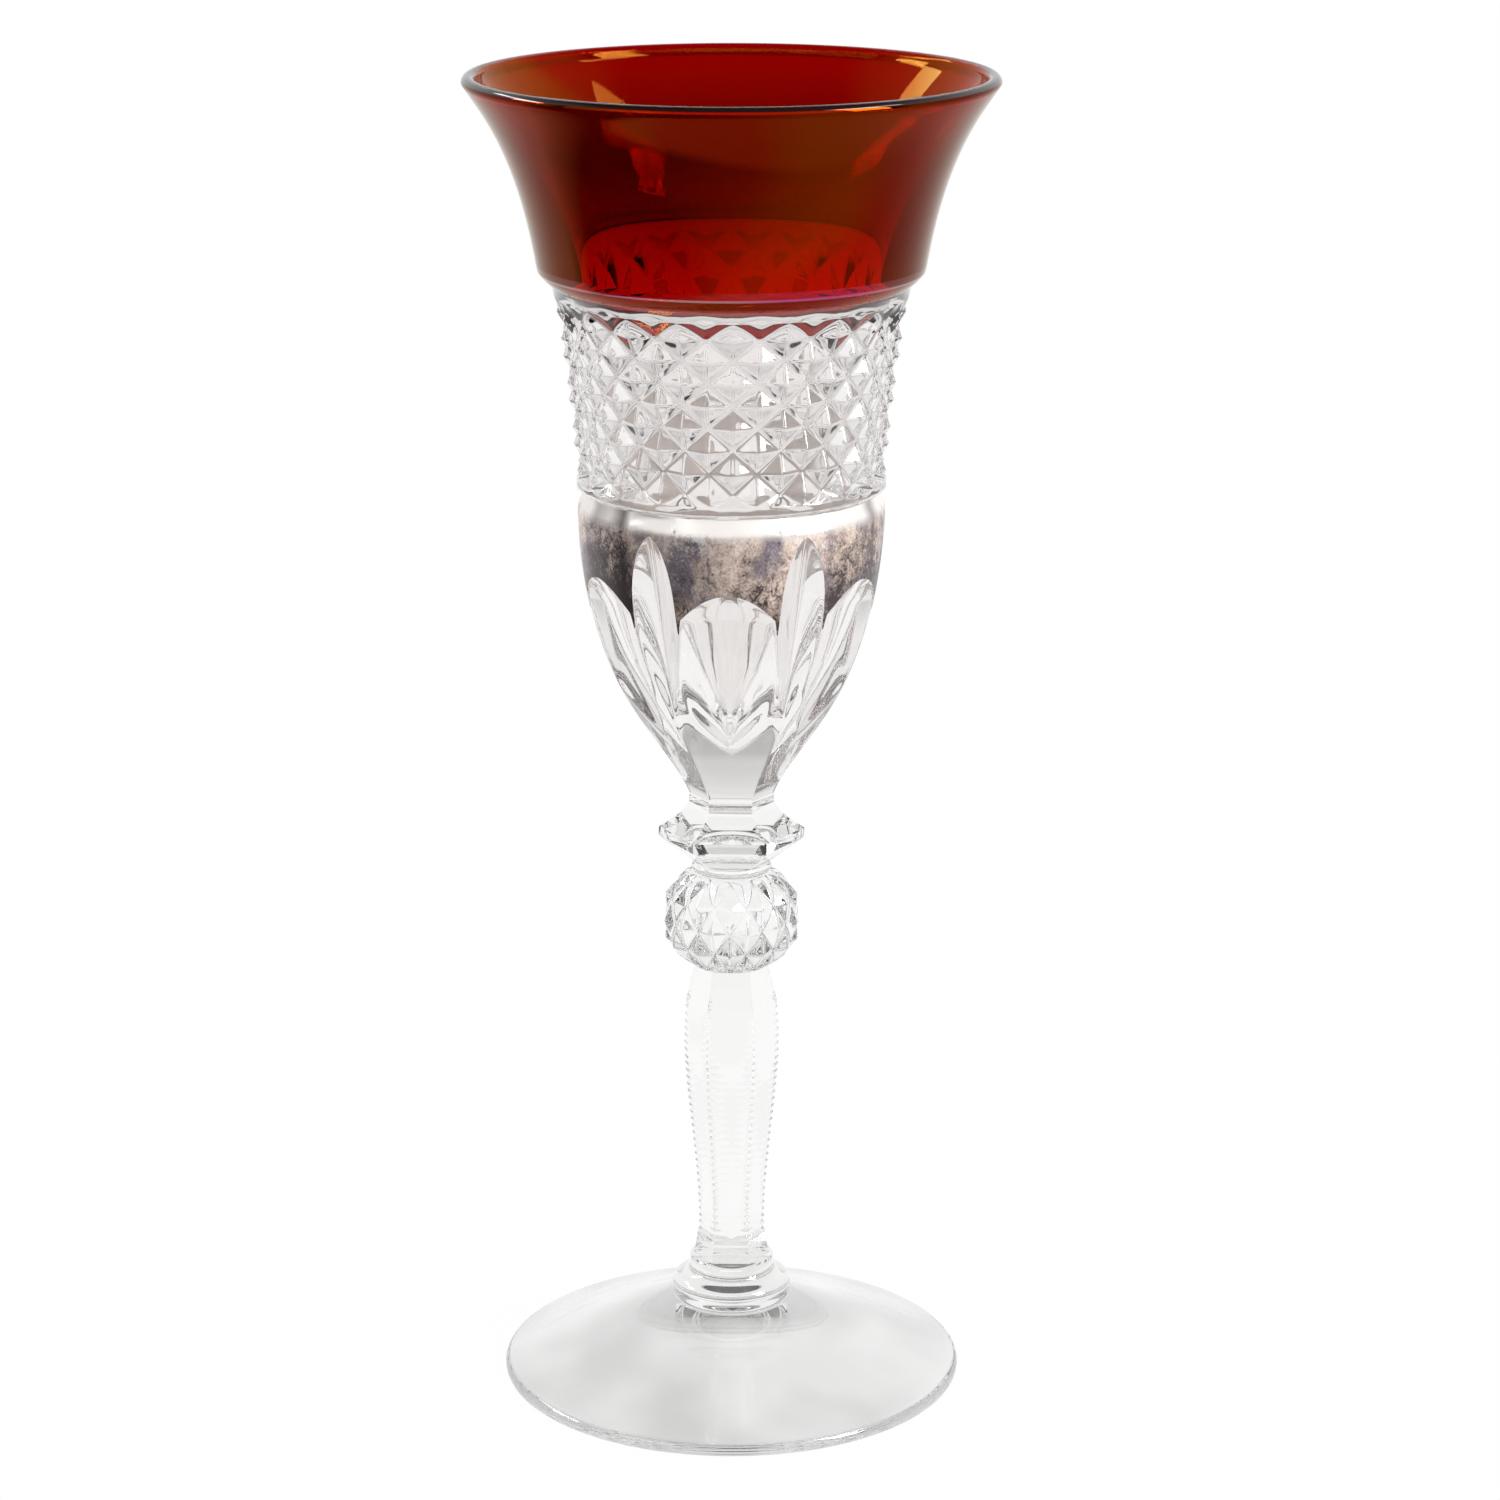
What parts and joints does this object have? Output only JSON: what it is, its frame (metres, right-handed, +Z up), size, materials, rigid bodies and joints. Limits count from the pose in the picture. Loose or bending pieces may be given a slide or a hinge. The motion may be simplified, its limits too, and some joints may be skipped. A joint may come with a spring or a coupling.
{
  "type": "champagne glass",
  "caption": "Tall flared champagne glass: clear cut bowl with ruby flash above a diamond band, silver lustre over scoops and spears, collar, knop, hexagonal stem and round foot.",
  "frame": {"origin": "centre of the ring that the foot stands on", "axes": "+Z up along the glass's axis towards the rim; -Y towards a flat of the sixfold cutting, the side that faces the camera; +X towards a hexagon corner"},
  "size_m": [0.0788, 0.0788, 0.203],
  "materials": {
    "bowl_glass": "fire-polished clear crystal, cut",
    "ruby_flash": "glossy ruby flash with a faint gold lustre",
    "silver_lustre": "worn, tarnished silver lustre",
    "stem_glass": "clear crystal, cut and polished",
    "foot_glass": "clear crystal, polished"
  },
  "bodies": {
    "root": {"bowl": "bowl_glass", "ruby_flash": "ruby_flash", "silver_lustre": "silver_lustre", "hex_collar": "stem_glass", "neck_wafer": "stem_glass", "diamond_knop": "stem_glass", "stem": "stem_glass", "stem_button": "stem_glass", "foot": "foot_glass"}
  },
  "joints": []
}
